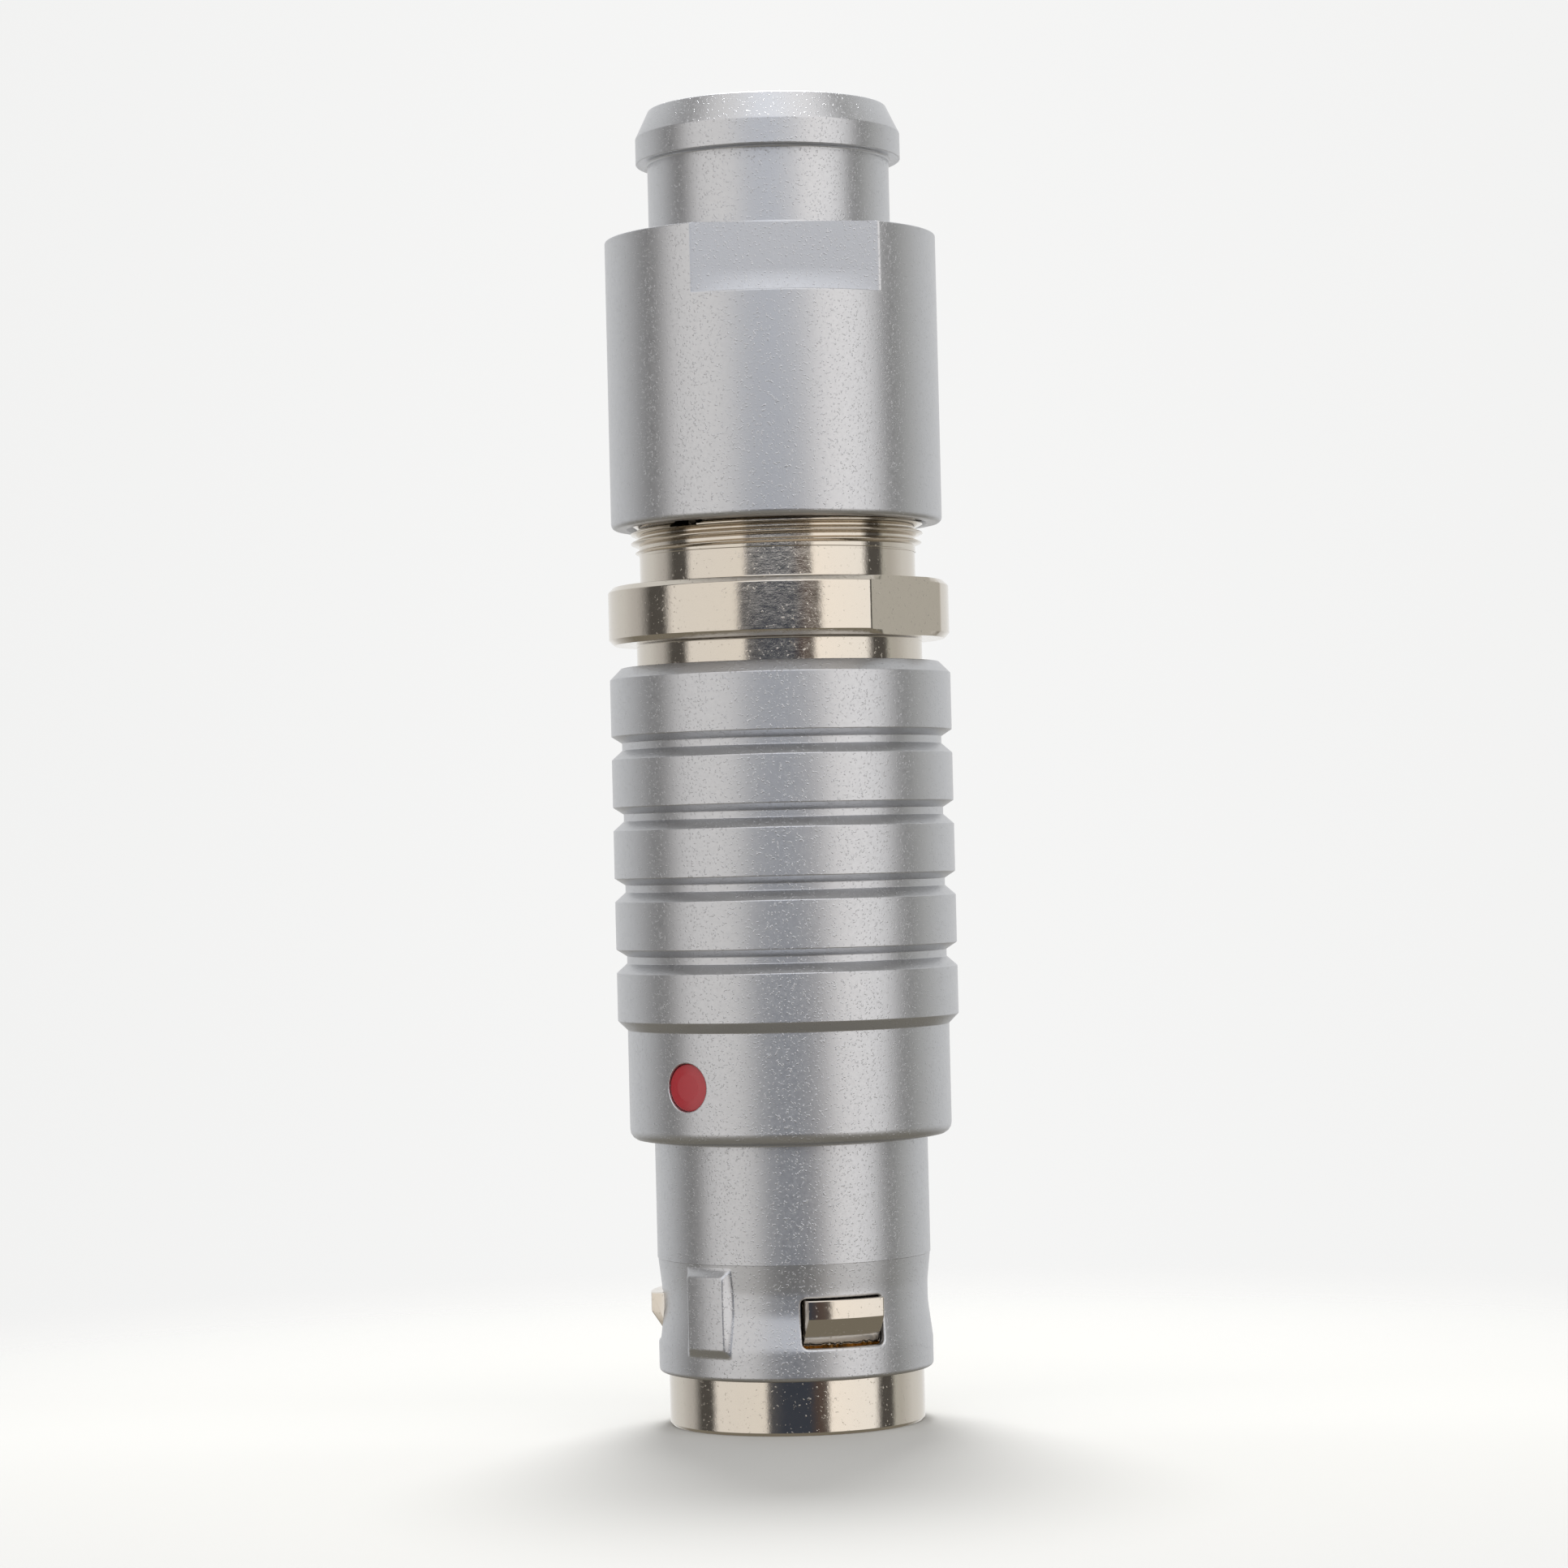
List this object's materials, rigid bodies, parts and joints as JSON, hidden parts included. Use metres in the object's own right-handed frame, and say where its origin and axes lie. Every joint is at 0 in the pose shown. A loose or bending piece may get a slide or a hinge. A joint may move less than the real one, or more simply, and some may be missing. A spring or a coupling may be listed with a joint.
{
  "type": "push-pull circular connector plug",
  "caption": "Straight metal push-pull circular cable plug with a keyed nose, sprung latches, ribbed grip sleeve and a collet nut for the cable.",
  "frame": {"origin": "on the plug's axis, at the mating face it stands on", "axes": "+Z along the plug's axis towards the cable; -Y out through the key and the index dot"},
  "size_m": [0.018, 0.018, 0.0693],
  "materials": {
    "satin_chrome": "satin",
    "polished_nickel": "polished",
    "contact_gold": "polished",
    "insulator_plastic": "matte",
    "red_enamel": "gloss"
  },
  "bodies": {
    "core": {"latch_sleeve": "polished_nickel", "carrier_half_1": "polished_nickel", "carrier_half_2": "polished_nickel", "insulator": "insulator_plastic", "contact_01": "contact_gold", "contact_02": "contact_gold", "contact_03": "contact_gold", "contact_04": "contact_gold", "contact_05": "contact_gold", "contact_06": "contact_gold", "contact_07": "contact_gold", "contact_08": "contact_gold", "contact_09": "contact_gold", "contact_10": "contact_gold", "adapter": "polished_nickel"},
    "shell": {"outer_shell": "satin_chrome", "index_dot": "red_enamel"},
    "latch_1": {"latch_1": "polished_nickel"},
    "latch_2": {"latch_2": "polished_nickel"},
    "latch_3": {"latch_3": "polished_nickel"},
    "collet": {"collet": "polished_nickel"},
    "nut": {"collet_nut": "satin_chrome"}
  },
  "joints": [
    {"name": "shell_pull", "type": "slide", "parent": "core", "child": "shell", "axis": [0, 0, 1], "range_m": [0, 0.00118], "stiffness_N_per_m": 800},
    {"name": "latch_1_flex", "type": "hinge", "parent": "core", "child": "latch_1", "pos_m": [0.00524, -0.00302, 0.0145], "axis": [0.5, 0.866, 0], "range_deg": [0, 4.8]},
    {"name": "latch_2_flex", "type": "hinge", "parent": "core", "child": "latch_2", "pos_m": [0, 0.00605, 0.0145], "axis": [-1, 0, 0], "range_deg": [0, 4.8]},
    {"name": "latch_3_flex", "type": "hinge", "parent": "core", "child": "latch_3", "pos_m": [-0.00524, -0.00302, 0.0145], "axis": [0.5, -0.866, 0], "range_deg": [0, 4.8]},
    {"name": "collet_slide", "type": "slide", "parent": "core", "child": "collet", "axis": [0, 0, 1], "range_m": [-0.0009, 0.003]},
    {"name": "nut_turn", "type": "hinge", "parent": "collet", "child": "nut", "pos_m": [0, 0, 0.058], "axis": [0, 0, 1], "range_deg": [-649, 2161]}
  ],
  "couplings": [
    {"joint": "latch_1_flex", "follows": "shell_pull", "rad_per_m": 70},
    {"joint": "latch_2_flex", "follows": "shell_pull", "rad_per_m": 70},
    {"joint": "latch_3_flex", "follows": "shell_pull", "rad_per_m": 70},
    {"joint": "nut_turn", "follows": "collet_slide", "rad_per_m": 12566}
  ]
}
